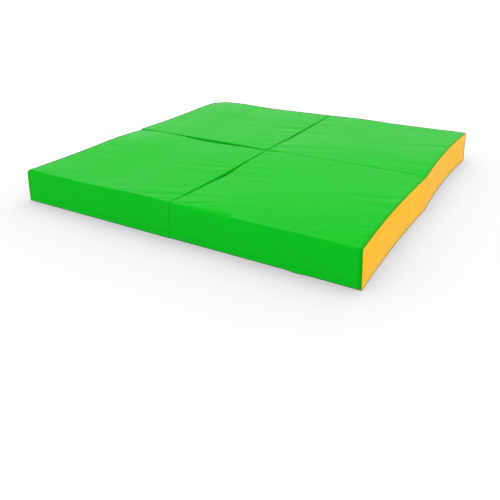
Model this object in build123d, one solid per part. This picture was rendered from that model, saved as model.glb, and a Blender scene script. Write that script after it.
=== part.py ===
"""Folding landing mat: four foam sections in a square, sewn edge to edge into a chain.

The chain runs front left - front right - back right - back left. The two seams on the
line between left and right lie at the ground, and the seam between front right and
back right lies at the top, so the chain folds like a zigzag into a stack of four.
Front left and back left only lie side by side.

+X is right, +Y is back, +Z is up. The origin is the middle of the mat, on the ground.
"""

import os

from build123d import *

# ---------------------------------------------------------------- driving dimensions, mm
mat_length = 1000.0  # left to right
mat_width = 1000.0  # front to back
mat_height = 100.0

sheet = 0.8  # coated cover fabric
fold_radius = 10.0  # outside, where the cover folds over the foam's long top edges
foam_play = 0.3  # foam to cover, all round

web_thickness = 0.8  # seam allowance that joins two sections
web_depth = 8.0
web_play = 0.4  # between the two halves of a web
web_end_inset = 5.0  # web end to the section's corner
hinge_play = 0.5  # fold axis to the faces that close on each other

zip_inset = 70.0  # inner wall to the zip's centre line
zip_end_inset = 29.5  # slot end to the section's walls
slot_width = 15.0
tape_width = 13.0
tape_thickness = 0.6
tape_gap = 1.2  # between the two tapes
tape_overhang = 10.0  # tape past each end of the slot
coil_width = 2.6
coil_height = 1.4
zip_channel_play = 0.9  # foam to the zip

slider_length = 14.0
slider_plate = 1.0
slider_corner = 1.5
slider_play = 0.3  # slider to tape and coil
flange_thickness = 1.2
flange_reach = 1.4
post_play = 0.2  # divider to each tape
post_length = 4.0
stop_length = 2.0
stop_drop = 0.4  # stop below the coil, where the slider meets it

pull_length = 24.0
pull_width = 7.0
pull_thickness = 1.2
pull_corner = 2.8
pull_play = 0.2  # pull to slider plate
pull_end_play = 4.0  # pull's tip to the slot's end
eye_width = 3.2  # window in the pull, across
eye_length = 4.2  # pivot to the window's far side
bail_thickness = 0.7
bail_play = 0.1  # pull's cross bar to the bail
bail_half_length = 3.2
bail_leg = 1.0
bail_side_play = 0.4
grip_hole_radius = 1.6
grip_hole_from_end = 4.0
ground_play = 0.3  # bail to the ground

# ---------------------------------------------------------------- what follows from them
section_gap = 2 * web_thickness + web_play
section_length = (mat_length - section_gap) / 2
section_width = (mat_width - section_gap) / 2

# the zip's heights, from the ground up
bail_low = ground_play
pivot_height = bail_low + bail_thickness + bail_play + pull_thickness / 2
outer_plate_low = pivot_height + pull_thickness / 2 + pull_play
outer_plate_high = outer_plate_low + slider_plate
coil_low = outer_plate_high + slider_play
tape_low = coil_low + coil_height
tape_high = tape_low + tape_thickness
inner_plate_low = tape_high + slider_play
inner_plate_high = inner_plate_low + slider_plate
channel_high = inner_plate_high + zip_channel_play

# the zip's widths, from its centre line
post_half = tape_gap / 2 - post_play
coil_outer = tape_gap / 2 + coil_width
flange_inner = coil_outer + slider_play
slider_half_width = flange_inner + flange_thickness
channel_half_width = tape_gap / 2 + tape_width + zip_channel_play

# the zip's lengths
slot_length = section_length - 2 * zip_end_inset
slider_end_room = pull_length + pull_end_play
slider_travel = slot_length - 2 * slider_end_room
coil_end_room = slider_end_room - slider_length / 2 - slider_play


def block(x, y, z):
    """A box from (low, high) pairs along each axis."""
    middle = [(low + high) / 2 for low, high in (x, y, z)]
    size = [high - low for low, high in (x, y, z)]
    return Pos(*middle) * Box(*size)


def arch_profile(y, z, radius):
    """A YZ rectangle with its two top corners rounded, as a face at X = 0."""
    middle_y, middle_z = (y[0] + y[1]) / 2, (z[0] + z[1]) / 2
    outline = Rectangle(y[1] - y[0], z[1] - z[0])
    face = fillet(outline.vertices().sort_by(Axis.Y)[-2:], radius)
    return Plane.YZ * Pos(middle_y, middle_z) * face


def arch_block(x, y, z, radius):
    """A block whose long top edges are rounded."""
    face = Pos(x[0], 0, 0) * arch_profile(y, z, radius)
    return extrude(face, amount=x[1] - x[0], dir=(1, 0, 0))


def inset(pair, by):
    return (pair[0] + by, pair[1] - by)


def around(middle, half):
    return (middle - half, middle + half)


def both_sides(middle, near, far):
    """The two bands that lie from near to far on each side of a centre line."""
    return [(middle - far, middle - near), (middle + near, middle + far)]


# ---------------------------------------------------------------- cover and foam
def cover_wrap(x, y):
    """One sheet over the section: down the front wall, across the top, down the back."""
    outside = arch_block(inset(x, sheet), y, (0, mat_height), fold_radius)
    inner_height = (-sheet, mat_height - sheet)
    inside = arch_block(x, inset(y, sheet), inner_height, fold_radius - sheet)
    return outside - inside


def end_wall(x_low, y):
    """A flat sheet sewn to the end of the wrap."""
    return arch_block((x_low, x_low + sheet), y, (0, mat_height), fold_radius)


def base_sheet(x, y, zip_x, zip_y):
    """The underside, with the slot that the zip closes."""
    plate = block(inset(x, sheet), inset(y, sheet), (0, sheet))
    return plate - block(zip_x, zip_y, (-sheet, 2 * sheet))


def foam_core(x, y, zip_x, zip_middle):
    """The foam, with a channel that leaves room for the zip."""
    play = sheet + foam_play
    height = (play, mat_height - play)
    foam = arch_block(inset(x, play), inset(y, play), height, fold_radius - play)
    channel_x = inset(zip_x, -tape_overhang - zip_channel_play)
    channel_y = (zip_middle - channel_half_width, zip_middle + channel_half_width)
    return foam - block(channel_x, channel_y, (0, channel_high))


# ---------------------------------------------------------------- zip
def zip_facing(zip_x, zip_y):
    """The strip of cover fabric that lines the slot and carries the tapes."""
    ring = block(inset(zip_x, -sheet), inset(zip_y, -sheet), (sheet, tape_low))
    return ring - block(zip_x, zip_y, (0, tape_high))


def zip_tapes(zip_x, middle):
    x = inset(zip_x, -tape_overhang)
    bands = both_sides(middle, tape_gap / 2, tape_gap / 2 + tape_width)
    return [block(x, y, (tape_low, tape_high)) for y in bands]


def zip_coils(coil_x, middle):
    """The two rows of teeth, as plain bars under the tapes' inner edges."""
    bands = both_sides(middle, tape_gap / 2, coil_outer)
    return [block(coil_x, y, (coil_low, tape_low)) for y in bands]


def zip_stops(coil_x, middle):
    """Two crimps at the closed end, and one across both tapes at the open end."""
    z = (coil_low - stop_drop, tape_low)
    closed_x = (coil_x[1], coil_x[1] + stop_length)
    open_x = (coil_x[0] - stop_length, coil_x[0])
    bands = both_sides(middle, tape_gap / 2, coil_outer)
    stops = [block(closed_x, y, z) for y in bands]
    stops.append(block(open_x, around(middle, coil_outer), z))
    return stops


def slider_plate_at(x, y, low):
    plate = block(x, y, (low, low + slider_plate))
    return fillet(plate.edges().filter_by(Axis.Z), slider_corner)


def slider_bail(at_x, middle):
    """The bridge under the slider that the pull's cross bar turns in."""
    x = around(at_x, bail_half_length)
    y = around(middle, eye_width / 2 - bail_side_play)
    bridge = block(x, y, (bail_low, outer_plate_low))
    return bridge - block(inset(x, bail_leg), y, (bail_low + bail_thickness, outer_plate_low))


def zip_slider(at_x, middle):
    """Two plates joined by the divider, with flanges and the bail."""
    x = around(at_x, slider_length / 2)
    y = around(middle, slider_half_width)
    body = slider_plate_at(x, y, inner_plate_low) + slider_plate_at(x, y, outer_plate_low)
    post_x = (x[1] - post_length, x[1])
    body += block(post_x, around(middle, post_half), (outer_plate_low, inner_plate_high))
    flange_z = (outer_plate_high, outer_plate_high + flange_reach)
    for band in both_sides(middle, flange_inner, slider_half_width):
        body += block(inset(x, slider_corner), band, flange_z)
    return body + slider_bail(at_x, middle)


def zip_pull(at_x, middle):
    """The tab that lies along the zip, with a cross bar that turns in the bail."""
    half = pull_thickness / 2
    z = around(pivot_height, half)
    tab = block((at_x - pull_length, at_x), around(middle, pull_width / 2), z)
    tab = fillet(tab.edges().filter_by(Axis.Z).sort_by(Axis.X)[:2], pull_corner)
    tab -= block((at_x - eye_length, at_x), around(middle, eye_width / 2), inset(z, -half))
    hole_x = at_x - pull_length + grip_hole_from_end
    hole = Cylinder(grip_hole_radius, 2 * pull_thickness)
    tab -= Pos(hole_x, middle, pivot_height) * hole
    cross_bar = Cylinder(half, pull_width, rotation=(90, 0, 0))
    return tab + Pos(at_x, middle, pivot_height) * cross_bar


# ---------------------------------------------------------------- seams between sections
def web_along_y(side, y):
    """Half of a seam at the ground between a left and a right section."""
    x = sorted((side * web_play / 2, side * section_gap / 2))
    return block(x, inset(y, web_end_inset), (0, web_depth))


def web_along_x(side, x):
    """Half of the seam at the top between a front and a back section."""
    y = sorted((side * web_play / 2, side * section_gap / 2))
    return block(inset(x, web_end_inset), y, (mat_height - web_depth, mat_height))


# ---------------------------------------------------------------- the whole mat
def section(name, x_side, y_side):
    """Writes one section. The sides are -1 for left or front and 1 for right or back."""
    x = sorted((x_side * section_gap / 2, x_side * mat_length / 2))
    y = sorted((y_side * section_gap / 2, y_side * mat_width / 2))
    zip_x = inset(x, zip_end_inset)
    zip_middle = y_side * (section_gap / 2 + zip_inset)
    zip_y = around(zip_middle, slot_width / 2)
    slider_x = zip_x[1] - slider_end_room
    coil_x = inset(zip_x, coil_end_room)

    save(name, "foam_core", foam_core(x, y, zip_x, zip_middle))
    save(name, "cover_wrap", cover_wrap(x, y))
    save(name, "left_wall", end_wall(x[0], y))
    save(name, "right_wall", end_wall(x[1] - sheet, y))
    save(name, "base_sheet", base_sheet(x, y, zip_x, zip_y))
    save(name, "zip_facing", zip_facing(zip_x, zip_y))
    save(name, "zip_tapes", Compound(zip_tapes(zip_x, zip_middle)))
    save(name, "zip_coils", Compound(zip_coils(coil_x, zip_middle)))
    save(name, "zip_stops", Compound(zip_stops(coil_x, zip_middle)))
    save(name, "zip_slider", zip_slider(slider_x, zip_middle))
    save(name, "zip_pull", zip_pull(slider_x, zip_middle))
    print(name, "slider at x", round(slider_x, 3), "y", round(zip_middle, 3))


def save(owner, node, shape):
    export_step(shape, f"parts/{owner}_{node}.step")


os.makedirs("parts", exist_ok=True)
for name, x_side, y_side in (
    ("front_left", -1, -1),
    ("front_right", 1, -1),
    ("back_right", 1, 1),
    ("back_left", -1, 1),
):
    section(name, x_side, y_side)

front_y = (-mat_width / 2, -section_gap / 2)
back_y = (section_gap / 2, mat_width / 2)
right_x = (section_gap / 2, mat_length / 2)
save("front_seam", "web_left", web_along_y(-1, front_y))
save("front_seam", "web_right", web_along_y(1, front_y))
save("back_seam", "web_left", web_along_y(-1, back_y))
save("back_seam", "web_right", web_along_y(1, back_y))
save("right_seam", "web_front", web_along_x(-1, right_x))
save("right_seam", "web_back", web_along_x(1, right_x))

print("zip slider travel", round(slider_travel, 3), "pull pivot z", round(pivot_height, 3))
print("fold axes at z", -hinge_play, "and", mat_height + hinge_play)
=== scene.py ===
# %% [markdown]
# # A folding landing mat
#
# The mat is four foam sections in sewn covers, two by two, joined edge to edge so that they
# fold into a stack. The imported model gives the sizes, the bodies and the joints. This script
# gives the looks: the soft cover on each section, the fabric, the zips underneath and the
# light. Every length is in metres, in the model's own frame: +X right, +Y back, +Z up.

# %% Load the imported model
import bpy
import numpy as np
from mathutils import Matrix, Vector


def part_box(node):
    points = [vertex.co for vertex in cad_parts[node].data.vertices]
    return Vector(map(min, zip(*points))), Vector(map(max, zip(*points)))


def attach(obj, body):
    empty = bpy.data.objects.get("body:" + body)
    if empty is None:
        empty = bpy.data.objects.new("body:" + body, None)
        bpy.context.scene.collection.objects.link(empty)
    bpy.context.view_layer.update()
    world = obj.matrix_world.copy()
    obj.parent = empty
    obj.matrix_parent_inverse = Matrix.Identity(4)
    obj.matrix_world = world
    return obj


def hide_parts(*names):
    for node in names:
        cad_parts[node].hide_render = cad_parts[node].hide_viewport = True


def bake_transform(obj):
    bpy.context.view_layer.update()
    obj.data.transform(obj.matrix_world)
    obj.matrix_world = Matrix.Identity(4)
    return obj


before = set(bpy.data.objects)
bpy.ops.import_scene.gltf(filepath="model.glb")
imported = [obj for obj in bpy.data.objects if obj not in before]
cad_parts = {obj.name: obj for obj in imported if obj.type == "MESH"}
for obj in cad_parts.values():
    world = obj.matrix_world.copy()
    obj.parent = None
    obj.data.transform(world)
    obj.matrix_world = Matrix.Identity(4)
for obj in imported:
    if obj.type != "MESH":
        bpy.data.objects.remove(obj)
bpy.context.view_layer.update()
MM = 0.001

# %% [markdown]
# ## Camera, light and floor
#
# A camera can be placed by eye, or solved from the object's corners. This one stands off the
# mat's front right corner, low enough that the top is seen at a slant. Its height above the
# floor and its distance are what set how fast the mat's edges draw together.

# %% Camera
camera_place = Vector((0.823, -1.523, 0.637))
camera_aim = Vector((0.206, -0.459, 0.0))
camera_lens = 41.2


def aimed(name, data, place, aim):
    """An object made of data that stands at place and looks along its own -Z at aim."""
    thing = bpy.data.objects.new(name, data)
    thing.location = place
    thing.rotation_mode = "QUATERNION"
    thing.rotation_quaternion = (Vector(aim) - Vector(place)).to_track_quat("-Z", "Y")
    bpy.context.scene.collection.objects.link(thing)
    return thing


camera_data = bpy.data.cameras.new("camera")
camera_data.lens = camera_lens
bpy.context.scene.camera = aimed("camera", camera_data, camera_place, camera_aim)

# %% [markdown]
# A product picture on white has light from all sides. A white world does most of it. One
# large soft light above, a little to the back left, makes the top the brightest face and
# leaves a faint shadow in front and on the right.

# %% Light
world = bpy.data.worlds.new("white_studio")
world.use_nodes = True
background = world.node_tree.nodes["Background"]
background.inputs["Color"].default_value = (1.0, 1.0, 1.0, 1.0)
background.inputs["Strength"].default_value = 1.0
bpy.context.scene.world = world

overhead = bpy.data.lights.new("overhead", "AREA")
overhead.shape = "SQUARE"
overhead.size = 2.2
overhead.energy = 14.0
aimed("overhead", overhead, place=(-0.1, 0.1, 2.4), aim=(0.0, 0.0, 0.0))
bpy.context.scene.view_settings.view_transform = "Standard"

# %% [markdown]
# The floor is plain and white. A painted plane would also catch a green glow from the mat, so
# this one is a shadow catcher: it shows the white behind it, darkened where it is in shade.

# %% Floor
floor_half = 30.0
floor_mesh = bpy.data.meshes.new("floor")
floor_mesh.from_pydata(
    [(-floor_half, -floor_half, 0), (floor_half, -floor_half, 0),
     (floor_half, floor_half, 0), (-floor_half, floor_half, 0)], [], [(0, 1, 2, 3)])
floor = bpy.data.objects.new("floor", floor_mesh)
floor.is_shadow_catcher = True
bpy.context.scene.collection.objects.link(floor)

floor_paint = bpy.data.materials.new("floor_paint")
floor_paint.use_nodes = True
floor_shader = floor_paint.node_tree.nodes["Principled BSDF"]
floor_shader.inputs["Base Color"].default_value = (0.9, 0.9, 0.9, 1)
floor_shader.inputs["Roughness"].default_value = 0.9
floor_mesh.materials.append(floor_paint)

# %% [markdown]
# ## Fabric and other finishes
#
# The cover is a tightly woven, coated fabric. At arm's length it looks plain, but a plain
# colour looks like plastic. Three effects are shared by every cloth here, so each is a node
# group: the weave, which is a height and a speckle; the tone, which is slow drift and
# streaks in the colour; and the seam shade, a painted shade that darkens the cloth where an
# edge is turned in at a seam.

# %% Node helpers
def node_group(name, inputs, outputs):
    """An empty group with float, colour or vector sockets, and its input and output nodes."""
    kinds = {"float": "NodeSocketFloat", "color": "NodeSocketColor", "vector": "NodeSocketVector"}
    group = bpy.data.node_groups.new(name, "ShaderNodeTree")
    for direction, sockets in (("INPUT", inputs), ("OUTPUT", outputs)):
        for socket_name, kind in sockets:
            group.interface.new_socket(socket_name, in_out=direction, socket_type=kinds[kind])
    return group, group.nodes.new("NodeGroupInput"), group.nodes.new("NodeGroupOutput")


def add_node(tree, kind, link=None, **values):
    """A node with its settings and inputs filled in. link maps an input to an output socket."""
    node = tree.nodes.new(kind)
    for key, value in values.items():
        if hasattr(node, key):
            setattr(node, key, value)
        else:
            node.inputs[key.replace("_", " ")].default_value = value
    for key, socket in (link or {}).items():
        tree.links.new(socket, node.inputs[key])
    return node


def math(tree, operation, a, b):
    """One Math node. Each of a and b is a number or a socket."""
    node = add_node(tree, "ShaderNodeMath", operation=operation)
    for k, value in enumerate((a, b)):
        if isinstance(value, (int, float)):
            node.inputs[k].default_value = value
        else:
            tree.links.new(value, node.inputs[k])
    return node.outputs[0]


def swing(tree, noise, amount):
    """(noise - 0.5) amount: a change about zero from a noise about a half."""
    return math(tree, "MULTIPLY", math(tree, "SUBTRACT", noise, 0.5), amount)


def noise_node(tree, vector, scale, detail):
    """The value of a Noise Texture read at vector."""
    noise = add_node(tree, "ShaderNodeTexNoise", {"Vector": vector}, Scale=scale, Detail=detail)
    return noise.outputs[0]


# %% Weave: two sets of threads that pass over and under each other
weave, weave_in, weave_out = node_group(
    "weave", [("Cloth", "vector"), ("Threads per metre", "float")],
    [("Height", "float"), ("Speckle", "float")])
thread_turn = 3.14159  # half a wave from each thread to the next
yarn_scale = 0.7  # lumps in a yarn, for each thread's width

in_threads = add_node(weave, "ShaderNodeVectorMath", operation="SCALE", link={
    0: weave_in.outputs["Cloth"], "Scale": weave_in.outputs["Threads per metre"]}).outputs[0]
cloth_axes = add_node(weave, "ShaderNodeSeparateXYZ", link={0: in_threads})
warp, weft = [math(weave, "SINE", math(weave, "MULTIPLY", cloth_axes.outputs[n], thread_turn), 0.0)
              for n in (0, 1)]
over_under = math(weave, "MULTIPLY", warp, weft)
yarn = noise_node(weave, in_threads, yarn_scale, 2.0)
weave_height = math(weave, "ADD", math(weave, "MULTIPLY", over_under, 0.5), yarn)
weave.links.new(weave_height, weave_out.inputs["Height"])
weave.links.new(yarn, weave_out.inputs["Speckle"])

# %% Tone: slow drift, streaks along the warp and a fine mottle
tone, tone_in, tone_out = node_group(
    "tone", [("Cloth", "vector"), ("Place", "vector"), ("Speckle", "float"), ("Drift", "float")],
    [("Shade", "float")])
drift_scale, mottle_scale = 5.0, 160.0  # per metre
streak_scale = (14.0, 90.0, 1.0)  # per metre, long one way and narrow the other
streak_share, mottle_share, grain_share = 0.10, 0.12, 0.30

stretched = add_node(tone, "ShaderNodeMapping", link={"Vector": tone_in.outputs["Cloth"]})
stretched.inputs["Scale"].default_value = streak_scale
drift = noise_node(tone, tone_in.outputs["Place"], drift_scale, 3.0)
streaks = noise_node(tone, stretched.outputs[0], 1.0, 2.0)
mottle = noise_node(tone, tone_in.outputs["Place"], mottle_scale, 2.0)
slow = swing(tone, drift, tone_in.outputs["Drift"])
fine = math(tone, "ADD", swing(tone, streaks, streak_share), swing(tone, mottle, mottle_share))
grain = swing(tone, tone_in.outputs["Speckle"], grain_share)
shade = math(tone, "ADD", math(tone, "ADD", slow, fine), math(tone, "ADD", grain, 1.0))
tone.links.new(shade, tone_out.inputs["Shade"])

# %% Seam shade: painted shade, the cloth darker where an edge is turned in at a seam
seam_shade, seam_in, seam_out = node_group(
    "seam_shade", [("Color", "color"), ("Seam color", "color"), ("Depth", "float")],
    [("Color", "color")])
near_seam = add_node(seam_shade, "ShaderNodeAttribute", attribute_name="seam")
into_seam = add_node(seam_shade, "ShaderNodeMix", data_type="RGBA", blend_type="MIX", link={
    0: math(seam_shade, "MULTIPLY", near_seam.outputs["Fac"], seam_in.outputs["Depth"]),
    6: seam_in.outputs["Color"], 7: seam_in.outputs["Seam color"]})
seam_shade.links.new(into_seam.outputs[2], seam_out.inputs["Color"])
print("node groups", [g.name for g in bpy.data.node_groups])


# %% Parts that every finish shares
def new_material(name):
    """A material and its node tree, which holds a Principled shader."""
    material = bpy.data.materials.new(name)
    material.use_nodes = True
    return material, material.node_tree


def shaded(tree, colour, shade):
    """A colour times a shade."""
    scaled = add_node(tree, "ShaderNodeVectorMath", operation="SCALE", link={"Scale": shade})
    scaled.inputs[0].default_value = colour
    return scaled.outputs[0]


def finish_shader(tree, colour, noise, roughness, spread, height, bump, depth, **levels):
    """Joins a colour, a roughness, a height and plain levels to the Principled shader.

    The roughness is the noise times spread, plus roughness less half of spread."""
    shader = tree.nodes["Principled BSDF"]
    rough = math(tree, "ADD", math(tree, "MULTIPLY", noise, spread), roughness - spread / 2)
    relief = add_node(tree, "ShaderNodeBump", {"Height": height}, Strength=bump, Distance=depth)
    joins = {"Base Color": colour, "Roughness": rough, "Normal": relief.outputs[0]}
    for key, socket in joins.items():
        tree.links.new(socket, shader.inputs[key])
    for key, value in levels.items():
        shader.inputs[key.replace("_", " ")].default_value = value


# %% Cloth materials
thread_depth = 0.4 * MM
seam_shade_depth = 0.85  # how much of the painted seam shade shows where the seam mask is 1


def cloth_material(name, colour, seam_shade_colour, threads, drift, roughness, gloss, bump, sheen):
    """A woven cloth: its colour times the tone, with painted shade at the seams, over the weave."""
    material, tree = new_material(name)
    cloth = add_node(tree, "ShaderNodeUVMap", uv_map="cloth").outputs[0]
    place = add_node(tree, "ShaderNodeTexCoord").outputs["Object"]
    woven = add_node(tree, "ShaderNodeGroup", {"Cloth": cloth}, node_tree=weave,
                     Threads_per_metre=threads)
    speckle = woven.outputs["Speckle"]
    toned = add_node(tree, "ShaderNodeGroup", {"Cloth": cloth, "Place": place, "Speckle": speckle},
                     node_tree=tone, Drift=drift)
    plain = shaded(tree, colour, toned.outputs["Shade"])
    seamed = add_node(tree, "ShaderNodeGroup", {"Color": plain}, node_tree=seam_shade,
                      Seam_color=(*seam_shade_colour, 1.0), Depth=seam_shade_depth)
    finish_shader(tree, seamed.outputs["Color"], speckle, roughness, 0.15,
                  woven.outputs["Height"], bump, thread_depth,
                  Specular_IOR_Level=gloss, Sheen_Weight=sheen, Sheen_Roughness=0.25)
    return material


# The seam colours are painted shade: each cloth turns towards a darker colour along its seams.
green_fabric = cloth_material(
    "green_fabric", colour=(0.002, 0.505, 0.013), seam_shade_colour=(0.0, 0.26, 0.004),
    threads=900.0, drift=0.10, roughness=0.6, gloss=0.03, bump=0.35, sheen=0.5)
orange_fabric = cloth_material(
    "orange_fabric", colour=(0.97, 0.515, 0.008), seam_shade_colour=(0.75, 0.26, 0.0),
    threads=900.0, drift=0.14, roughness=0.6, gloss=0.03, bump=0.35, sheen=0.28)
fabrics = {"green_fabric": green_fabric, "orange_fabric": orange_fabric}
zip_tape = cloth_material(
    "zip_tape", colour=(0.012, 0.013, 0.014), seam_shade_colour=(0.004, 0.004, 0.004),
    threads=1600.0, drift=0.3, roughness=0.8, gloss=0.3, bump=0.6, sheen=0.2)


# %% [markdown]
# The foam, the nylon teeth, the thread and the zip's painted metal have no weave. Foam is a
# field of cells, nylon has a soft gloss, and a slider's paint isn't quite even.

# %% Foam, nylon, thread and painted metal
def cell_material(name, colour, roughness, gloss, scale, depth, amount, metallic=0.0, coat=0.0):
    """A solid whose colour, gloss and height follow a fine noise on Object coordinates."""
    material, tree = new_material(name)
    place = add_node(tree, "ShaderNodeTexCoord").outputs["Object"]
    cells = noise_node(tree, place, scale, 3.0)
    shade = math(tree, "ADD", math(tree, "MULTIPLY", cells, amount), 1.0 - amount / 2)
    finish_shader(tree, shaded(tree, colour, shade), cells, roughness, 0.2, cells, 0.5, depth,
                  Specular_IOR_Level=gloss, Metallic=metallic, Coat_Weight=coat)
    return material


foam = cell_material(
    "foam", (0.80, 0.74, 0.55), roughness=0.95, gloss=0.1, scale=700.0, depth=0.001, amount=0.35)
zip_teeth = cell_material(
    "zip_teeth", (0.02, 0.021, 0.023), roughness=0.38, gloss=0.5, scale=900.0, depth=0.00005,
    amount=0.3)
zip_metal = cell_material(
    "zip_metal", (0.05, 0.052, 0.055), roughness=0.35, gloss=0.5, scale=400.0, depth=0.00005,
    amount=0.4, metallic=0.6, coat=0.4)
orange_thread = cell_material(
    "orange_thread", (0.90, 0.38, 0.01), roughness=0.7, gloss=0.3, scale=2500.0, depth=0.0002,
    amount=0.4)

# %% [markdown]
# ## The shape of a section
#
# A foam block in a sewn cover is a box that has softened. Its corners are pulled down by the
# seams, the middles of its edges stand a little higher and are drawn in, and the cover rolls
# over the long edges where one sheet makes the front, the top and the back. A bevelled cube
# looks like a tile. So each section is a function of three shares of its box, a to the right,
# b to the back and c up, and the same function makes every sheet, so their edges meet.

# %% Sections and their edge lines
sections = {"front_left": (-1, -1), "front_right": (1, -1), "back_right": (1, 1),
            "back_left": (-1, 1)}  # which side of the middle each is on, in x and in y

# Heights in mm round each section's top, at the corners and quarter points: from the front
# left corner along the front, up the right side, back along the back and down the left.
top_ring = {
    "front_left": (93.5, 92.5, 93, 97, 96.5, 92.5, 91.5, 92,
                   92, 91, 90, 93.5, 88, 94, 92.5, 91),
    "front_right": (96.5, 96, 94.5, 96, 95.5, 99, 99.5, 97.5,
                    96.5, 97, 97, 96, 93, 91.5, 88.5, 91.5),
    "back_right": (93, 96, 97, 97, 96.5, 100.5, 100.5, 98.5,
                   96, 94.5, 94, 95.5, 92, 90.5, 89.5, 91),
    "back_left": (91.5, 93.5, 94, 94.5, 93, 92, 91, 92,
                  92, 90.5, 89, 91.5, 88.5, 92, 90.5, 90),
}
# How far in mm each wall's top edge is drawn in, at its ends and at its middle.
draw_in = {
    "front_left": {"right": (0.3, 1.2), "back": (0.5, 1.5), "left": (0, 3)},
    "front_right": {"right": (0, 4.5), "left": (0.3, 1.2)},
    "back_right": {"right": (0, 5.5), "back": (0, 2), "left": (0.3, 1.2)},
    "back_left": {"front": (0.5, 1.5), "right": (0.3, 1.2), "back": (0, 3), "left": (0, 3)},
}
# How far in mm the foot of each outer wall stands out, at its ends and at its middle.
foot_out = {
    "front_left": {"front": (6, 6), "left": (3, 2)},
    "front_right": {"front": (4.5, 4), "right": (7.5, 1)},
    "back_right": {"right": (7, -2.5), "back": (3, 1)},
    "back_left": {"back": (2, 1), "left": (2, 0)},
}
# Radius in mm of the upright corner in each section that is on the mat's outline.
corner_radius = {"front_left": 6, "front_right": 2, "back_right": 6, "back_left": 60}
# Dents: place, long way, half length, half width and depth, in mm, and the way they push. One
# with a depth below zero stands out.
seam_dips = [((345, 0, 97), (1, 0, 0), 16, 7, 2.5, (0, 0, -1)),
             ((22, 0, 94), (1, 0, 0), 24, 7, 5.0, (0, 0, -1))]
dents = {
    "front_left": [((-500, -500, 50), (0, 0, 1), 100, 40, -6.0, (1, 0, 0))],
    "front_right": [((350, -504, 0), (1, 0, 0), 18, 14, -3.5, (0, 1, 0)),
                    ((300, -500, 45), (0.6, 0, -0.8), 55, 16, 2.0, (0, 1, 0)),
                    *seam_dips,
                    ((60, -470, 97), (0.85, 0.5, 0), 45, 7, 1.6, (0, 0, -1))],
    "back_right": seam_dips,
}
upright_radius = 0.6 * MM
top_seam_radius = 0.2 * MM  # of the upright corners at the ends of the top seam
foot_radius = 3 * MM
right_swell = 3.5  # mm that the outer right wall swells by
move_reach = 40 * MM
half_gap = 0.1 * MM  # sections meet this near the seam line, because covers are full


# %% Smooth lines through a few numbers
def through(rows, at):
    """A smooth line through rows of numbers or points, read at the row numbers in at.

    Between rows k and k + 1, with f = at - k, it is half of (-f + 2f^2 - f^3) row k-1
    + (2 - 5f^2 + 3f^3) row k + (f + 4f^2 - 3f^3) row k+1 + (f^3 - f^2) row k+2.
    Past each end a row is added in line with the last two."""
    padded = np.concatenate([2 * rows[:1] - rows[1:2], rows, 2 * rows[-1:] - rows[-2:-1]])
    k = np.clip(np.floor(at).astype(int), 0, len(rows) - 2)
    f = (at - k).reshape(at.shape + (1,) * (rows.ndim - 1))
    weights = (-f + 2 * f**2 - f**3, 2 - 5 * f**2 + 3 * f**3, f + 4 * f**2 - 3 * f**3, f**3 - f**2)
    return sum(w * padded[k + n] for n, w in enumerate(weights)) / 2


def smooth(low, high, value):
    """0 below low, 1 above high and 3t^2 - 2t^3 between them."""
    t = np.clip((value - low) / (high - low), 0, 1)
    return t * t * (3 - 2 * t)


# %% Heights and fold radii
section_depth = 0.5
ridge_height, ridge_width = 1.0 * MM, 7 * MM
outline_fold, top_seam_fold = 5.0, 1.5  # mm
gape_fold, gape_more, gape_place, gape_width = 4.0, 8.0, 0.6, 0.2  # mm, mm and shares
facet_end, facet_stop, facet_cut, facet_flat = 0.33, 0.36, 11.0, 0.85
groove_fold, groove_more = 4.0, 8.0  # mm
left_roll, right_roll, corner_roll, corner_reach = 5.0, 0.8, 13.0, 0.1


def top_height(name, a, b):
    """Height of the top over the shares a and b, from its four edge lines.

    It is the front and back lines mixed by b, plus the left and right lines mixed by a,
    less the four corners mixed by both. The front edge is 1 mm prouder, as a bell 7 mm deep,
    because the cloth is stretched over the foam's edge there."""
    ring = np.array(top_ring[name] + top_ring[name][:1]) * MM
    front, right = ring[0:5], ring[4:9]
    back, left = ring[8:13][::-1], ring[12:17][::-1]
    lengthwise = through(front, a * 4) * (1 - b) + through(back, a * 4) * b
    crosswise = through(left, b * 4) * (1 - a) + through(right, b * 4) * a
    corners = (front[0] * (1 - a) + front[4] * a) * (1 - b) + (back[0] * (1 - a) + back[4] * a) * b
    ridge = ridge_height * np.exp(-(b * section_depth / ridge_width) ** 2)
    ridge = ridge * (sections[name][1] < 0)
    return lengthwise + crosswise - corners + ridge


def fold_radius(name, a, b):
    """Radius of the turn from the top down the front or back wall, and its power.

    On the mat's outline the radius is about 5 mm and at the top seam 1.5 mm. The front left
    section's back edge is softer, and most of all a bell past its middle, where the two left
    sections gape. On the front right section slack cloth makes a flat facet that widens from
    the middle seam to a third of the way along and then stops short."""
    outline = (b > 0.5) == (sections[name][1] > 0)
    between = top_seam_fold
    if name == "front_left":
        between = gape_fold + gape_more * np.exp(-((a - gape_place) / gape_width) ** 2)
    radius = np.where(outline, outline_fold, between)
    facet = 0 * a
    if name == "front_right":
        facet = np.clip(a / facet_end, 0, 1) * (1 - smooth(facet_end, facet_stop, a)) * (b < 0.5)
    return (radius + facet_cut * facet) * MM, 2.0 - facet_flat * facet**0.5


def groove_radius(name, b):
    """Radius of the rolled edge along the seam between left and right sections.

    It is 1 mm on the left sections. On the right ones it is 4 mm, and up to 8 mm more where
    the seam opens, in two bells."""
    if sections[name][0] < 0:
        return 1.0 * MM + 0 * b
    low, high = section_box(name)
    y = (low[1] + b * (high[1] - low[1])) / MM
    opening = np.exp(-((y + 240) / 45) ** 2) + 0.5 * np.exp(-((y - 180) / 60) ** 2)
    return (groove_fold + groove_more * opening) * MM


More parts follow.
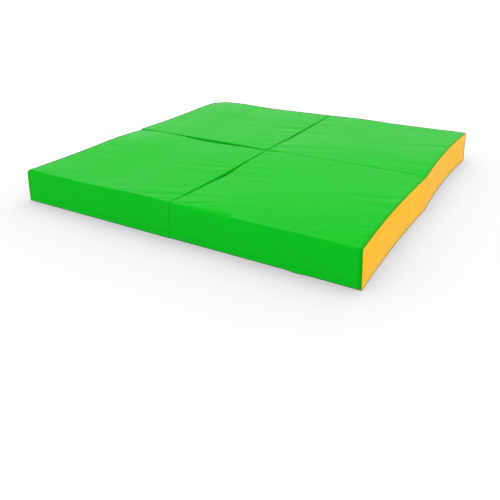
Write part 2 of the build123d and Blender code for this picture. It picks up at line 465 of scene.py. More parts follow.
def outer_roll(name, b):
    """Radius of the rolled edge on the mat's left or right.

    It is 0.8 mm on the right and 5 mm on the left, and up to 13 mm more by the front left
    corner, as a bell that falls over a tenth of the side."""
    x_side, y_side = sections[name]
    corner = corner_roll * np.exp(-(b / corner_reach) ** 2) * (y_side < 0)
    return np.where(x_side > 0, right_roll, left_roll + corner) * MM


def round_pair(p, q, p_low, p_high, q_low, q_high, radius, power=2.0):
    """Rounds a box's edges in two directions, each a square of the size radius at a corner.

    A point in the square at (u, v) from its inner corner, in shares of the radius, goes to
    (u, v) max(u, v) / (u^n + v^n)^(1/n). Nested squares turn into nested rounds for the
    power n = 2, and for 1 into flat cuts with two creases, and no points fall together."""
    p_in = np.clip(p, p_low + radius, p_high - radius)
    q_in = np.clip(q, q_low + radius, q_high - radius)
    u, v = abs(p - p_in) / radius, abs(q - q_in) / radius
    keep = np.maximum(u, v) / np.maximum((u**power + v**power) ** (1 / power), 1e-9)
    return p_in + (p - p_in) * keep, q_in + (q - q_in) * keep


# %% The skin of a section
def section_box(name):
    """Lowest and highest corner of a section, grown into the gaps between sections."""
    low = np.array(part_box(f"{name}_left_wall")[0])
    high = np.array(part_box(f"{name}_right_wall")[1])
    for axis, side in enumerate(sections[name]):
        if side < 0:
            high[axis] = -half_gap
        else:
            low[axis] = half_gap
    return low, high


def edge_moves(name, x, y, a, b, c, size):
    """Moves each wall in at its top and out at its foot, and swells the right one.

    With m = 4s(1 - s) along a wall, 1 at its middle and 0 at its ends, the top goes in by
    ends + (middle - ends) m, times c cubed between sections and c on the outline, and the
    foot goes out in the same way times 1 - c. The outer right wall also swells by
    3.5 mm times 4c(1 - c) m^(1/2). All of it fades over 40 mm away from the wall."""
    x_side, y_side = sections[name]
    walls = {"front": (a, b * size[1], 0, 1, y_side < 0),
             "back": (a, (1 - b) * size[1], 0, -1, y_side > 0),
             "left": (b, a * size[0], 1, 0, x_side < 0),
             "right": (b, (1 - a) * size[0], -1, 0, x_side > 0)}
    for wall, (share, depth, x_way, y_way, outline) in walls.items():
        middle = 4 * share * (1 - share)
        ends, mid = draw_in[name].get(wall, (0, 0))
        inward = (ends + (mid - ends) * middle) * (c if outline else c**3)
        ends, mid = foot_out[name].get(wall, (0, 0))
        inward = inward - (ends + (mid - ends) * middle) * (1 - c)
        if wall == "right" and outline:
            inward = inward - right_swell * 4 * c * (1 - c) * np.sqrt(middle)
        inward = inward * MM * np.exp(-depth / move_reach)
        x, y = x + x_way * inward, y + y_way * inward
    return x, y


def press_dents(name, points):
    """Pushes each dent in by depth exp(-(along/half length)^2 - (across/half width)^2)."""
    for place, way, half_length, half_width, depth, push in dents.get(name, []):
        offset = points - np.array(place) * MM
        way = np.array(way) / np.linalg.norm(way)
        along = offset @ way
        across = np.linalg.norm(offset - along[..., None] * way, axis=-1)
        reach = (along / (half_length * MM)) ** 2 + (across / (half_width * MM)) ** 2
        points = points + (depth * MM * np.exp(-reach))[..., None] * np.array(push)
    return points


def section_skin(name, a, b, c):
    """Points of a section's skin from the shares a, b and c of its box.

    The box is stretched to the top's height, its folds, foot and upright corners are
    rounded, its walls are moved and its dents pressed in."""
    low, high = section_box(name)
    size = high - low
    top = top_height(name, a, b)
    x, y, z = low[0] + a * size[0], low[1] + b * size[1], c * top
    y, z = round_pair(y, z, low[1], high[1], -1.0, top, *fold_radius(name, a, b))
    inner = (a > 0.5) == (sections[name][0] < 0)
    roll = np.where(inner, groove_radius(name, b), outer_roll(name, b))
    x, z = round_pair(x, z, low[0], high[0], -1.0, np.maximum(z, top), roll)
    y, z = round_pair(y, z, low[1], high[1], 0.0, 1.0, foot_radius)
    x, z = round_pair(x, z, low[0], high[0], 0.0, 1.0, foot_radius)
    x_side, y_side = sections[name]
    outer = ((a > 0.5) == (x_side > 0)) & ((b > 0.5) == (y_side > 0))
    radius = np.where(outer, corner_radius[name] * MM, upright_radius)
    by_top_seam = (x_side > 0) & ((b > 0.5) != (y_side > 0))
    radius = np.where(by_top_seam, top_seam_radius, radius)
    x, y = round_pair(x, y, low[0], high[0], low[1], high[1], radius)
    x, y = edge_moves(name, x, y, a, b, c, size)
    return press_dents(name, np.stack([x, y, z], -1))


# %% [markdown]
# ## Four sheets on one lattice
#
# The cover of a section is a wrap (front wall, top and back wall in one sheet), two end walls
# and a base. On a lattice of whole numbers i, j and k over the box, each sheet is a plain
# grid, and two sheets share exactly the points whose numbers agree. That is enough to sew
# them into one closed skin for the simulation and to cut them apart again afterwards.

# %% Lattice
cells_x, cells_y, cells_z = 80, 80, 16
last_cell = np.array([cells_x, cells_y, cells_z])


def sheet_lattice():
    """The whole numbers (i, j, k) of each sheet's grid, and whether its faces are turned."""
    i, j, k = (np.arange(n + 1) for n in last_cell)
    path_j = np.concatenate([0 * k[:-1], j, cells_y + 0 * k[1:]])
    path_k = np.concatenate([k[:-1], cells_z + 0 * j, k[::-1][1:]])
    wrap_i, wrap_j = np.meshgrid(i, path_j, indexing="ij")
    wrap_k = np.broadcast_to(path_k, wrap_i.shape)
    wall_j, wall_k = np.meshgrid(j, k, indexing="ij")
    base_i, base_j = np.meshgrid(i, j, indexing="ij")
    return {
        "cover_wrap": (np.stack([wrap_i, wrap_j, wrap_k], -1), False),
        "left_wall": (np.stack([0 * wall_j, wall_j, wall_k], -1), True),
        "right_wall": (np.stack([cells_x + 0 * wall_j, wall_j, wall_k], -1), False),
        "base_sheet": (np.stack([base_i, base_j, 0 * base_i], -1), True),
    }


def grid_numbers(grid):
    """The numbers of a grid's points, row by row."""
    return np.arange(grid.shape[0] * grid.shape[1]).reshape(grid.shape[:2])


def grid_faces(numbers, turned=False):
    """Quads over a grid of point numbers, wound the other way if turned."""
    corners = [numbers[:-1, :-1], numbers[1:, :-1], numbers[1:, 1:], numbers[:-1, 1:]]
    faces = np.stack([c.ravel() for c in corners], -1)
    return faces[:, ::-1] if turned else faces


def shares(numbers, count):
    """The share of a side at each lattice number: s - 0.5 sin(2 pi s) / (2 pi).

    Here s is the number over the side's count of cells.
    It sets the lines half as far apart at the edges, where the cloth turns, as on average."""
    s = numbers / count
    return s - 0.5 * np.sin(2 * np.pi * s) / (2 * np.pi)


def sewn_skin(name):
    """One closed skin: its points, faces and lattice numbers, and each sheet's point numbers."""
    lattice = sheet_lattice()
    numbers = np.concatenate([grid.reshape(-1, 3) for grid, _ in lattice.values()])
    lattice_points, inverse = np.unique(numbers, axis=0, return_inverse=True)
    points = section_skin(name, *shares(lattice_points, last_cell).T)
    where, faces, start = {}, [], 0
    for sheet_name, (grid, turned) in lattice.items():
        count = grid.shape[0] * grid.shape[1]
        where[sheet_name] = inverse.ravel()[start:start + count].reshape(grid.shape[:2])
        faces.append(grid_faces(where[sheet_name], turned))
        start += count
    return points, np.concatenate(faces), lattice_points, where


skins = {name: sewn_skin(name) for name in sections}
print("points in a skin", len(skins["front_left"][0]))


# %% [markdown]
# ## Letting the cover settle
#
# Slack fabric on foam could be painted on as noise, but then its wrinkles end anywhere. A
# short cloth simulation puts them where the fabric has to go: it is cut a little too
# large, held at the seams, and pushed out by the foam. What it may move is then capped, and
# kept inside the section's own space so that the sections don't meet.

# %% Cloth simulation
fabric = {"quality": 5, "mass": 0.15, "tension_stiffness": 30, "compression_stiffness": 30,
          "shear_stiffness": 10, "bending_stiffness": 0.5, "air_damping": 4,
          "vertex_group_mass": "seams", "use_pressure": True,
          "uniform_pressure_force": 1.5,  # of the foam on the cover
          "shrink_min": -0.004}  # below zero, the cover is cut that share too large
settle_frames = 16
broad_rounds, fine_rounds = 60, 5
settle_cap = 2.5 * MM
wrinkle_share = 0.4  # how much of the wrinkles is left once the cloth lies on the foam
outline_room = 12 * MM  # how far a cover may stand out of the mat's own box, at its sides
highest_top = 100.4 * MM


def local_mean(values, faces, held, rounds):
    """Each value mixed half and half with its neighbours' mean, round after round.

    After 60 rounds that is a blur about four cells wide. The held points stay at zero."""
    ends = np.concatenate([faces[:, [n, (n + 1) % 4]] for n in range(4)])
    here, there = np.concatenate([ends, ends[:, ::-1]]).T
    count = np.bincount(here, minlength=len(values))[:, None]
    for _ in range(rounds):
        total = [np.bincount(here, weights=values[there, axis], minlength=len(values))
                 for axis in range(3)]
        values = np.where(held[:, None], 0, (values + np.stack(total, -1) / count) / 2)
    return values


def settle(parts):
    """Runs one cloth simulation on all the skins together and returns their new points.

    With m the cloth's move less its local mean, a point moves by share cap tanh(|m| / cap)
    along m, and by less than that within three cells of an edge."""
    starts = np.cumsum([0] + [len(p[0]) for p in parts])
    points = np.concatenate([p[0] for p in parts])
    faces = np.concatenate([p[1] + s for p, s in zip(parts, starts)])
    numbers = np.concatenate([p[2] for p in parts])
    mesh = bpy.data.meshes.new("settling")
    mesh.from_pydata(points, [], faces)
    body = bpy.data.objects.new("settling", mesh)
    bpy.context.scene.collection.objects.link(body)

    on_side = ((numbers == 0) | (numbers == last_cell)).sum(1)
    held = (on_side >= 2) | (numbers[:, 2] == 0)
    seams = body.vertex_groups.new(name="seams")
    seams.add(np.flatnonzero(held).tolist(), 1.0, "REPLACE")

    cloth = body.modifiers.new("cloth", "CLOTH")
    for key, value in fabric.items():
        setattr(cloth.settings, key, value)
    cloth.settings.effector_weights.gravity = 0.0
    cloth.collision_settings.use_collision = False
    cloth.point_cache.frame_start = 1
    cloth.point_cache.frame_end = settle_frames
    for step in range(1, settle_frames + 1):
        bpy.context.scene.frame_set(step)
    settled = body.evaluated_get(bpy.context.evaluated_depsgraph_get()).to_mesh()
    moved = np.empty(len(points) * 3, np.float32)
    settled.vertices.foreach_get("co", moved)
    moved = moved.reshape(-1, 3).astype(float)
    bpy.data.objects.remove(body)
    bpy.context.scene.frame_set(1)

    move = moved - points
    print("cloth moved up to", round(float(abs(move).max() / MM), 1), "mm")
    move -= local_mean(move, faces, held, broad_rounds)  # the foam keeps the broad shape
    move = local_mean(move, faces, held, fine_rounds)  # and the finest wrinkles are too stiff
    length = np.linalg.norm(move, axis=1, keepdims=True)
    print("of which wrinkles up to", round(float(length.max() / MM), 1), "mm, capped at",
          settle_cap / MM)
    move *= wrinkle_share * np.tanh(length / settle_cap) * settle_cap / np.maximum(length, 1e-9)
    to_edge = np.sort(np.minimum(numbers, last_cell - numbers), axis=1)[:, 1:2]
    move *= smooth(0, 3, to_edge)  # the foam's own edges hold the cover along the folds
    return np.split(points + move, starts[1:-1])


def keep_clear(name, points):
    """Keeps a skin off its neighbours: out of the gap between sections and off the floor."""
    low, high = section_box(name)
    for axis, side in enumerate(sections[name]):
        if side < 0:
            low[axis] -= outline_room
        else:
            high[axis] += outline_room
    low[2], high[2] = 0.0, highest_top
    return np.clip(points, low, high)


settled = settle([skins[name] for name in sections])
settled = {name: keep_clear(name, points) for name, points in zip(sections, settled)}

# %% [markdown]
# ## Cutting the sheets apart
#
# Each sheet is read from the settled skin at half the spacing, so that small gathers and the
# seams have points to sit on. The gathers are short wrinkles that run in from the two sewn
# edges of the wrap. They are sums of a few waves of unlike length, which never repeat in
# step, and they fade out over a few centimetres.

# %% Piece helpers
def grid_at(grid, rows, columns):
    """A grid of points read smoothly at fractional row and column numbers."""
    return through(through(grid, rows).transpose(1, 0, 2), columns).transpose(1, 0, 2)


def outward(grid):
    """Unit normals of a grid, from the cross product of its two directions."""
    normal = np.cross(np.gradient(grid, axis=0), np.gradient(grid, axis=1))
    return normal / np.maximum(np.linalg.norm(normal, axis=-1, keepdims=True), 1e-12)


def make_piece(name, points, faces, material, body=None, nodes=(), uv=None, seam=None,
               thick=0.0):
    """A smooth mesh piece with its cloth UVs in metres, its seam mask of painted shade and its
    finish.
    """
    points = np.asarray(points, float).reshape(-1, 3)
    mesh = bpy.data.meshes.new(name)
    mesh.from_pydata(points, [], faces)
    mesh.polygons.foreach_set("use_smooth", np.ones(len(mesh.polygons), bool))
    if uv is not None:
        corner = np.empty(len(mesh.loops), np.int32)
        mesh.loops.foreach_get("vertex_index", corner)
        layer = mesh.uv_layers.new(name="cloth")
        layer.data.foreach_set("uv", np.asarray(uv, np.float32).reshape(-1, 2)[corner].ravel())
    if seam is not None:
        mask = mesh.attributes.new("seam", "FLOAT", "POINT")
        mask.data.foreach_set("value", np.asarray(seam, np.float32).ravel())
    mesh.materials.append(material)
    mesh.update()
    piece = bpy.data.objects.new(name, mesh)
    bpy.context.scene.collection.objects.link(piece)
    if thick:
        solid = piece.modifiers.new("cloth_thickness", "SOLIDIFY")
        solid.thickness, solid.offset = thick, -1.0
    if body:
        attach(piece, body)
    if nodes:
        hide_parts(*nodes)
    return piece


def lengths_along(line):
    """Distance in metres from the first point of a line to each of its points."""
    steps = np.linalg.norm(np.diff(line, axis=0), axis=1)
    return np.concatenate([[0.0], np.cumsum(steps)])


# %% Gathers
def gathers(along, lengths, shifts, heights):
    """A sum of waves, each height times sin(2 pi along / length + shift), that comes and goes.

    The coming and going is (1 + sin)^2 / 4 of a wave 2.7 times as long as the first."""
    waves = sum(h * MM * np.sin(2 * np.pi * along / (w * MM) + s)
                for w, s, h in zip(lengths, shifts, heights))
    turn = 2 * np.pi * along / (lengths[0] * 2.7 * MM) + shifts[1]
    return waves * (0.5 + 0.5 * np.sin(turn)) ** 2


# Height in mm of the broad gathers at the left and right seams, and of the fine puckers.
gather_height = {"front_left": (0.4, 1.0), "front_right": (1.2, 0.9),
                 "back_right": (1.2, 1.0), "back_left": (0.4, 1.2)}
pucker_height = {"front_left": (0.1, 0.1), "front_right": (0.15, 0.35),
                 "back_right": (0.15, 0.5), "back_left": (0.1, 0.1)}
seam_start, gather_reach, pucker_reach = 5 * MM, 100 * MM, 45 * MM
lean_share = 0.35  # how far the waves lean towards the back, for each metre to the right


def wrap_relief(name, number, along, from_left, from_right, on_top):
    """How far the wrap stands off its settled shape, from the place along its seams.

    At each seam it is the gathers times exp(-d / 100 mm) plus puckers about 22 mm long times
    exp(-d / 45 mm), both growing from nothing over the first 5 mm from the seam."""
    relief = 0 * along
    for side, depth in enumerate((from_left, from_right)):
        start = 1 - np.exp(-depth / seam_start)
        lean = along + lean_share * (2 * side - 1) * depth
        shifts = (1.0 + number + 2 * side, 0.4 * number, 2.0 + side)
        broad = gathers(lean, (97, 61, 41), shifts, (0.5, 0.4, 0.25))
        fine = gathers(lean, (27, 19), (number, 2.0), (0.6, 0.4))
        relief = relief + start * (
            gather_height[name][side] * broad * np.exp(-depth / gather_reach)
            + pucker_height[name][side] * fine * np.exp(-depth / pucker_reach))
    return relief * on_top


# %% Wraps
def edge_distance(numbers, count, length):
    """Distance in metres from lattice numbers to the nearer end of a side."""
    share = shares(numbers, count)
    return np.minimum(share, 1 - share) * length


fine_i = np.linspace(0, cells_x, 2 * cells_x + 1)
fine_j = np.linspace(0, cells_y, 2 * cells_y + 1)
fine_k = np.linspace(0, cells_z, 2 * cells_z + 1)
wrap_path = np.linspace(0, cells_y + 2 * cells_z, 2 * (cells_y + 2 * cells_z) + 1)
seam_reach = 2.5 * MM
outline_shade_reach = 6.5 * MM
outline_turn, inner_turn = 0.8 * MM, 0.3 * MM  # how deep the sewn edges are turned in
facing_width, facing_share = 2 * MM, 0.25  # and the share of it where two wraps face
inner_shade = {-1: 0.1, 1: 0.05}  # painted seam shade between left and right sections, by side
cloth_thick = 0.8 * MM
wraps, sewn_sheets = {}, {}


def wrap_points(name, number):
    """The wrap's points: the settled skin, its relief, and its two sewn edges turned in."""
    grid = settled[name][skins[name][3]["cover_wrap"]]
    points = grid_at(grid, fine_i, wrap_path)
    low, high = section_box(name)
    from_left = points[..., 0] - low[0]
    from_right = high[0] - points[..., 0]
    edge = edge_distance(fine_i, cells_x, high[0] - low[0])[:, None]
    up = outward(points)
    on_top = smooth(0.5, 0.95, up[..., 2])
    relief = wrap_relief(name, number, points[..., 1], from_left, from_right, on_top)
    outline = (fine_i[:, None] < cells_x / 2) == (sections[name][0] < 0)
    facing = abs(points[..., 1]) < facing_width
    turned_in = np.where(outline, outline_turn, inner_turn) * np.where(facing, facing_share, 1)
    turned_in = turned_in * np.exp(-(edge / seam_reach) ** 2)
    points = points + up * (relief - turned_in)[..., None]
    points[..., 0] += np.where(fine_i[:, None] < cells_x / 2, turned_in, -turned_in)
    # The seam mask is painted shade: darker along the seams on the outline, and only faintly
    # between sections.
    inner = inner_shade[sections[name][0]] * np.exp(-edge / seam_reach)
    seam = np.where(outline, np.exp(-(edge / outline_shade_reach) ** 2), inner)
    return points, seam * np.ones_like(relief)


for number, name in enumerate(sections):
    points, seam = wrap_points(name, number)
    points = keep_clear(name, points)
    across = lengths_along(points[:, len(wrap_path) // 2])
    along = lengths_along(points[len(fine_i) // 2])
    uv = np.stack(np.meshgrid(across, along, indexing="ij"), -1)
    faces = grid_faces(grid_numbers(points))
    wrap = make_piece(f"{name}_wrap", points, faces, green_fabric, name,
                      [f"{name}_cover_wrap"], uv, seam, cloth_thick)
    wraps[name] = points
    cut = float(across[-1]), float(along[-1])
    sewn_sheets[name] = [(wrap, cut)]
    print(name, "wrap cut", round(cut[0], 3), "by", round(cut[1], 3), "m")


# %% [markdown]
# The end walls are flat pieces sewn to the wrap along three sides and to the base along the
# fourth. On the mat's left and right they are orange, and green where two sections meet.
# Their edge points are taken from the wrap, so the seam is closed. Upright streaks show where
# the cloth hangs a little loose between its seams.

# %% End walls
wall_height = 0.1
sewn_depth, sewn_height = 0.499, 0.096  # of an end wall between its seams
inner_waves = 0.2  # height of the waves where two sections meet, for 1 on the outline


def wall_points(name, side):
    """An end wall: the settled skin and a few upright waves, sewn to the edge of the wrap."""
    grid = settled[name][skins[name][3][f"{side}_wall"]]
    points = grid_at(grid, fine_j, fine_k)
    edge = wraps[name][0 if side == "left" else -1]
    y, z = points[..., 1], points[..., 2]
    hang = 4 * (z / wall_height) * (1 - z / wall_height)
    waves = gathers(y + 0.15 * z, (83, 47, 29), (1.0 + len(name), 0.3, 2.2), (0.5, 0.35, 0.25))
    waves = waves * np.clip(hang, 0, 1)
    if (side == "left") != (sections[name][0] < 0):
        waves = inner_waves * waves
    points[..., 0] += waves if side == "right" else -waves
    points[0] = edge[:len(fine_k)]
    points[:, -1] = edge[len(fine_k) - 1:len(fine_k) + len(fine_j) - 1]
    points[-1] = edge[::-1][:len(fine_k)]
    return points


for name, (x_side, _) in sections.items():
    for side, way in (("left", -1), ("right", 1)):
        points = wall_points(name, side)
        j_edge = edge_distance(fine_j, cells_y, sewn_depth)[:, None]
        k_edge = edge_distance(fine_k, cells_z, sewn_height)[None, :]
        outer = way == x_side
        # Painted seam shade: a faint darkening near the edges of the walls between sections, none
        # on the outline.
        seam = np.exp(-np.minimum(j_edge, k_edge) / seam_reach) * (0.0 if outer else 0.1)
        slot = "orange_fabric" if outer else "green_fabric"
        faces = grid_faces(grid_numbers(points), side == "left")
        wall = make_piece(f"{name}_{side}_end", points, faces, fabrics[slot], name,
                          [f"{name}_{side}_wall"], points[..., 1:], seam, cloth_thick)
        sewn_sheets[name].append((wall, (0.5, 0.1)))

# %% [markdown]
# The base is the sheet the section stands on. It is flat, because it bears on the floor, and
# it has a long slot for the zip. A grid can have a slot if some of its lines lie on the
# slot's edges: the cells inside are then left out.

# %% Base sheets
facing_thick = 0.8 * MM
slot_hem = 3 * MM  # from the slot's edge to the next grid line
slot_rise, rise_reach = 0.5 * MM, 9 * MM  # the stitched hem lifts the cloth round the slot


def slot_of(name):
    """Left and right end and centre line of a section's zip slot."""
    low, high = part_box(f"{name}_zip_facing")
    return low[0] + facing_thick, high[0] - facing_thick, (low[1] + high[1]) / 2


facing_low, facing_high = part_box("front_left_zip_facing")
slot_half = float(facing_high[1] - facing_low[1]) / 2 - facing_thick


def base_points(name):
    """The base's points, with grid lines on the slot's four edges, and which cells to keep."""
    low, high = section_box(name)
    left, right, middle = slot_of(name)
    lines = []
    for axis, fine, edges in ((0, fine_i, (left, right)),
                              (1, fine_j, (middle - slot_half, middle + slot_half))):
        places = low[axis] + shares(fine, fine[-1]) * (high[axis] - low[axis])
        extra = [np.interp(e + d, places, fine) for e in edges for d in (0.0, slot_hem, -slot_hem)]
        keep = [f for f in fine if min(abs(f - e) for e in extra) > 0.2]
        lines.append(np.sort(np.concatenate([keep, extra])))
    grid = settled[name][skins[name][3]["base_sheet"]]
    points = grid_at(grid, *lines)
    x, y = points[..., 0], points[..., 1]
    past_ends = np.maximum(np.maximum(left - x, x - right), 0)
    past_sides = np.maximum(abs(y - middle) - slot_half, 0)
    rise = slot_rise * (1 - smooth(0.0, rise_reach, np.hypot(past_ends, past_sides)))
    points[..., 2] = np.maximum(points[..., 2], 0) + rise
    x, y, _ = np.moveaxis((points[:-1, :-1] + points[1:, 1:]) / 2, -1, 0)
    inside = (x > left) & (x < right) & (abs(y - middle) < slot_half)
    return points, ~inside


for name in sections:
    points, keep = base_points(name)
    faces = grid_faces(grid_numbers(points), True)[keep.ravel()]
    low, high = section_box(name)
    border = np.minimum(points[..., :2] - low[:2], high[:2] - points[..., :2]).min(-1)
    # Painted seam shade: the base turns darker towards its edges, where it meets the walls.
    seam = 0.5 * np.exp(-np.maximum(border, 0) / seam_reach)
    base = make_piece(f"{name}_base", points, faces, orange_fabric, name,
                      [f"{name}_base_sheet"], points[..., :2], seam, cloth_thick)
    sewn_sheets[name].append((base, (0.5, 0.5)))
print("slot", round(2 * slot_half / MM, 1), "mm wide")

# %% [markdown]
# ## The foam
#
# Inside each cover is one block of foam. It fills the cover, so it has the cover's shape less
# the thickness of the cloth, and a channel in its underside that leaves room for the zip.

# %% Foam blocks
foam_inset = np.array([5, 5, 4]) * MM
foam_low, channel_depth = 1.3 * MM, 7.2 * MM


def foam_points(name):
    """The skin drawn 5 mm towards the inside, 1.3 mm at the base, with the zip channel."""
    low, high = section_box(name)
    middle, half = (low + high) / 2, (high - low) / 2
    points = middle + (settled[name] - middle) * (1 - foam_inset / half)
    slot_left, slot_right, line = slot_of(name)
    under = skins[name][2][:, 2] == 0
    reach_x = np.maximum(slot_left - points[:, 0], points[:, 0] - slot_right) / MM
    reach_y = abs(points[:, 1] - line) / MM
    channel = (1 - smooth(10, 17, reach_x)) * (1 - smooth(14.5, 19, reach_y))
    points[:, 2] = np.where(under, foam_low + channel_depth * channel, points[:, 2])
    return points


for name in sections:
    block = make_piece(f"{name}_foam", foam_points(name), skins[name][1], foam, name,
                       [f"{name}_foam_core"])

# %% [markdown]
# ## The seams between sections
#
# Two sections are joined by the edges of their covers, sewn together in a narrow strip of
# doubled cloth. The strip is the hinge: at the ground between left and right sections and at
# the top between front and back.

# %% Seam strips
strip_thick = 0.5 * MM
up = np.array([0, 0, 1.0])


def strip_piece(name, across, along, profile, nodes, slot, faces_up):
    """A strip: a profile of (across, up) points carried along a line."""
    grid = along[:, None] + profile[:, :1] * across + profile[:, 1:] * up
    uv = np.stack(np.meshgrid(lengths_along(along), lengths_along(profile), indexing="ij"), -1)
    normal = outward(grid)[len(grid) // 2, len(profile) // 2]
    # Painted shade along the strip's middle line, where its cloth folds.
    seam = np.exp(-abs(profile[:, 0]) / (0.8 * MM))[None, :] * np.ones(len(along))[:, None] * 0.6
    faces = grid_faces(grid_numbers(grid), (normal[2] > 0) != faces_up)
    strip = make_piece(name, grid, faces, fabrics[slot], None, nodes, uv, seam, strip_thick)
    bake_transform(strip)
    return strip


def ground_strip(side):
    """The U of cloth between a left and a right section, with its bend at the ground.

    Its two legs lean apart from 1.4 mm at their foot to 3.2 mm, under the walls' own cloth."""
    nodes = [f"{side}_seam_web_left", f"{side}_seam_web_right"]
    low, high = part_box(nodes[0])
    y = np.linspace(low[1], high[1], 100)
    along = np.stack([0 * y, y, 0 * y], -1)
    turn = np.linspace(-np.pi / 2, np.pi / 2, 7)
    bend = np.stack([0.7 * MM * np.sin(turn), 0.9 * MM - 0.6 * MM * np.cos(turn)], -1)
    leg = np.stack([np.linspace(1.6, 0.7, 5), np.linspace(7.5, 1.5, 5)], -1) * MM
    profile = np.concatenate([leg * [-1, 1], bend, leg[::-1]])
    return strip_piece(f"{side}_seam_strip", np.array([1.0, 0, 0]), along, profile,
                       nodes, "orange_fabric", False)


def top_strip():
    """The seam between front right and back right: two soft rolls with a line between.

    Its height follows the top edges it joins. Across, with s from -1 to 1, it stands
    0.8 sin(pi |s|) - 0.5 |s| mm above them."""
    nodes = ["right_seam_web_front", "right_seam_web_back"]
    low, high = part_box(nodes[0])
    x = np.linspace(low[0] - 1 * MM, high[0] + 3 * MM, 160)
    fold = len(fine_k) - 1
    edges = wraps["front_right"][:, fold + len(fine_j) - 3], wraps["back_right"][:, fold + 2]
    height = sum(np.interp(x, edge[:, 0], edge[:, 2]) for edge in edges) / 2
    along = np.stack([x, 0 * x, height], -1)
    s = np.linspace(-1, 1, 17)
    rolls = (0.8 * np.sin(np.pi * abs(s)) - 0.5 * abs(s)) * MM
    profile = np.stack([3.4 * MM * s, rolls], -1)
    return strip_piece("right_seam_strip", np.array([0, 1.0, 0]), along, profile,
                       nodes, "green_fabric", True)


strips = [ground_strip("front"), ground_strip("back"), top_strip()]
print("seam strips", len(strips))

# %% [markdown]
# ## The zips
#
# A coil zip is two woven tapes with a nylon spiral sewn along each inner edge. The turns of
# one spiral sit between the turns of the other. A row of little blocks would pass from far
# off, but a spiral is simple to write and right from near too.

# %% Zip tapes and facings
tape_side, edge_band = 13 * MM, 12.4 * MM  # the tapes' outer edges are darker past the band
ripple_height, ripple_length = 0.1 * MM, 34 * MM
slot_corner = 1.2 * MM
facing_steps, facing_rows = 460, 5


def zip_tape_strips(name):
    """Two flat bands with a slow ripple of a tenth of a millimetre."""
    low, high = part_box(f"{name}_zip_tapes")
    line = (low[1] + high[1]) / 2
    points, faces, seams = [], [], []
    for side in (-1, 1):
        y = line + side * np.linspace(0.6 * MM, (high[1] - low[1]) / 2, 9)
        x, y = np.meshgrid(np.linspace(low[0], high[0], 150), y, indexing="ij")
        ripple = ripple_height * np.sin(2 * np.pi * x / ripple_length + side)
        ripple = ripple * abs(y - line) / tape_side
        faces.append(grid_faces(grid_numbers(x) + sum(len(p) for p in points), side > 0))
        points.append(np.stack([x, y, low[2] + 0.15 * MM + ripple], -1).reshape(-1, 3))
        seams.append((abs(points[-1][:, 1] - line) > edge_band) * 0.6)
    points = np.concatenate(points)
    tape = make_piece(f"{name}_zip_tape", points, np.concatenate(faces), zip_tape,
                      name, [f"{name}_zip_tapes"], points[:, :2], np.concatenate(seams), 0.45 * MM)


def slot_path(name, grow, count):
    """Points round the slot, grown outwards, with rounded corners, at even steps."""
    left, right, line = slot_of(name)
    x_low, x_high = left + slot_corner, right - slot_corner
    y_low, y_high = line - slot_half + slot_corner, line + slot_half - slot_corner
    centres = (x_high, y_high), (x_low, y_high), (x_low, y_low), (x_high, y_low)
    turn = np.linspace(0, np.pi / 2, 7)
    ring = np.concatenate([
        np.array(centre) + (slot_corner + grow) * np.stack([np.cos(turn + t), np.sin(turn + t)], -1)
        for centre, t in zip(centres, np.arange(4) * np.pi / 2)])
    ring = np.concatenate([ring, ring[:1]])
    walked = lengths_along(ring)
    at = np.linspace(0, walked[-1], count, endpoint=False)
    return np.stack([np.interp(at, walked, ring[:, n]) for n in (0, 1)], -1), walked[-1]


def zip_facing_strip(name):
    """The strip that lines the slot: its outline carried up from the base to the tapes."""
    ring, length = slot_path(name, 0.0, facing_steps)
    heights = np.linspace(slot_rise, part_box(f"{name}_zip_facing")[1][2], facing_rows)
    grid = np.empty((facing_steps, facing_rows, 3))
    grid[..., :2], grid[..., 2] = ring[:, None], heights
    numbers = grid_numbers(grid)
    faces = grid_faces(np.concatenate([numbers, numbers[:1]]), True)
    walked = np.arange(facing_steps) * length / facing_steps
    uv = np.stack(np.meshgrid(walked, heights, indexing="ij"), -1)
    facing = make_piece(f"{name}_slot_facing", grid, faces, orange_fabric, name,
                        [f"{name}_zip_facing"], uv, np.zeros(numbers.shape), 0.6 * MM)


for name in sections:
    zip_tape_strips(name)
    zip_facing_strip(name)


# %% Zip coils
coil_pitch = 2.0 * MM
coil_half_width, coil_half_height, coil_wire = 1.6 * MM, 0.45 * MM, 0.24 * MM
coil_off_line = 1.35 * MM


def spiral(turns, steps=8, sides=4):
    """A flattened spiral along x, made as a ring of points round each place on its line.

    The line is (pitch t / 2 pi, half width cos t, half height sin t). Each ring lies in the
    plane of the line's own direction from the spiral's axis and of x."""
    t = np.arange(turns * steps + 1) * 2 * np.pi / steps
    line = np.stack([coil_pitch * t / (2 * np.pi), coil_half_width * np.cos(t),
                     coil_half_height * np.sin(t)], -1)
    away = np.stack([0 * t, np.cos(t) / coil_half_width, np.sin(t) / coil_half_height], -1)
    away = away / np.linalg.norm(away, axis=1, keepdims=True)
    turn = np.arange(sides)[:, None] * 2 * np.pi / sides
    rings = line[:, None] + coil_wire * (np.cos(turn) * away[:, None]
                                         + np.sin(turn) * np.array([1.0, 0, 0]))
    numbers = grid_numbers(rings)
    faces = grid_faces(np.concatenate([numbers, numbers[:, :1]], 1)).tolist()
    return rings.reshape(-1, 3), faces + [numbers[0].tolist(), numbers[-1][::-1].tolist()]


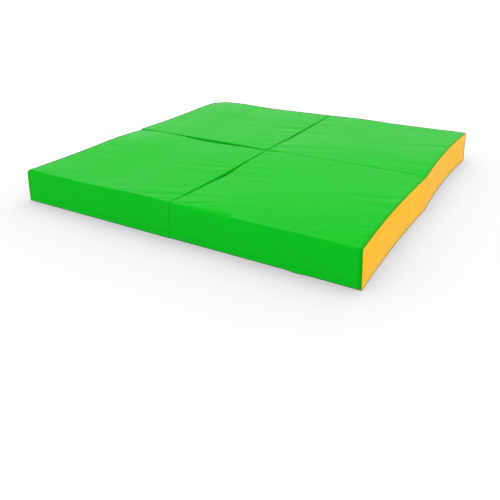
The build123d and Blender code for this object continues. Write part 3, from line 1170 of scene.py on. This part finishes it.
for name in sections:
    low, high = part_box(f"{name}_zip_coils")
    line, middle_z = (low[1] + high[1]) / 2, (low[2] + high[2]) / 2
    turns = int((high[0] - low[0] - coil_pitch) / coil_pitch)
    ring_points, ring_faces = spiral(turns)
    points, faces = [], []
    for side, shift in ((-1, 0.0), (1, 0.5)):
        start = low[0] + (0.3 + shift) * coil_pitch, line + side * coil_off_line, middle_z
        faces += [[n + len(points) * len(ring_points) for n in face] for face in ring_faces]
        points.append(ring_points + start)
    make_piece(f"{name}_zip_spirals", np.concatenate(points), faces, zip_teeth, name,
               [f"{name}_zip_coils"])
    print(name, "zip turns", 2 * turns)

# %% [markdown]
# The slider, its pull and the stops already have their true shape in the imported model, so
# they stay, and only their finish is new. The base is stitched down round the slot. A stitch
# is a short thread that dips at both ends, so each is a small ellipsoid, half in the cloth.

# %% Zip metal
for name in sections:
    for part in ("zip_slider", "zip_pull", "zip_stops"):
        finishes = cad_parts[f"{name}_{part}"].data.materials
        finishes.clear()
        finishes.append(zip_metal)


# %% Stitches
stitch_step, stitch_share, stitch_radius = 3.5 * MM, 0.72, 0.22 * MM
stitch_off_slot, stitch_height = 3.5 * MM, 0.30 * MM


def stitch_row(path, normal):
    """One ellipsoid per step of a closed path: three rings of four points and two tips.

    With s from -1 to 1 along a stitch, its radius is stitch_radius sqrt(1 - s^2)."""
    ahead = np.roll(path, -1, axis=0) - path
    length = np.linalg.norm(ahead, axis=1, keepdims=True)
    half = ahead * stitch_share / 2
    side = np.cross(ahead / length, normal)
    turn = np.arange(4)[:, None, None] * np.pi / 2
    rim = (np.cos(turn) * side + np.sin(turn) * normal) * stitch_radius
    rings = [path + half * s + rim * np.sqrt(1 - s * s) for s in (-0.75, 0.0, 0.75)]
    tips = [(path - half)[None], (path + half)[None]]
    points = np.concatenate(rings + tips).transpose(1, 0, 2)
    quads = [(r + k, r + (k + 1) % 4, r + (k + 1) % 4 + 4, r + k + 4)
             for r in (0, 4) for k in range(4)]
    caps = [(12, (k + 1) % 4, k) for k in range(4)]
    caps += [(13, 8 + k, 8 + (k + 1) % 4) for k in range(4)]
    starts = np.arange(len(path))[:, None, None] * points.shape[1]
    faces = [(np.array(part) + starts).reshape(-1, len(part[0])).tolist() for part in (quads, caps)]
    return points.reshape(-1, 3), faces[0] + faces[1]


for name in sections:
    _, length = slot_path(name, stitch_off_slot, 10)
    count = int(length / stitch_step)
    ring, _ = slot_path(name, stitch_off_slot, count)
    path = np.column_stack([ring, np.full(count, stitch_height)])
    points, faces = stitch_row(path, np.array([0.0, 0.0, 1.0]))
    make_piece(f"{name}_slot_stitches", points, faces, orange_thread, name)
    print(name, "stitches", count)
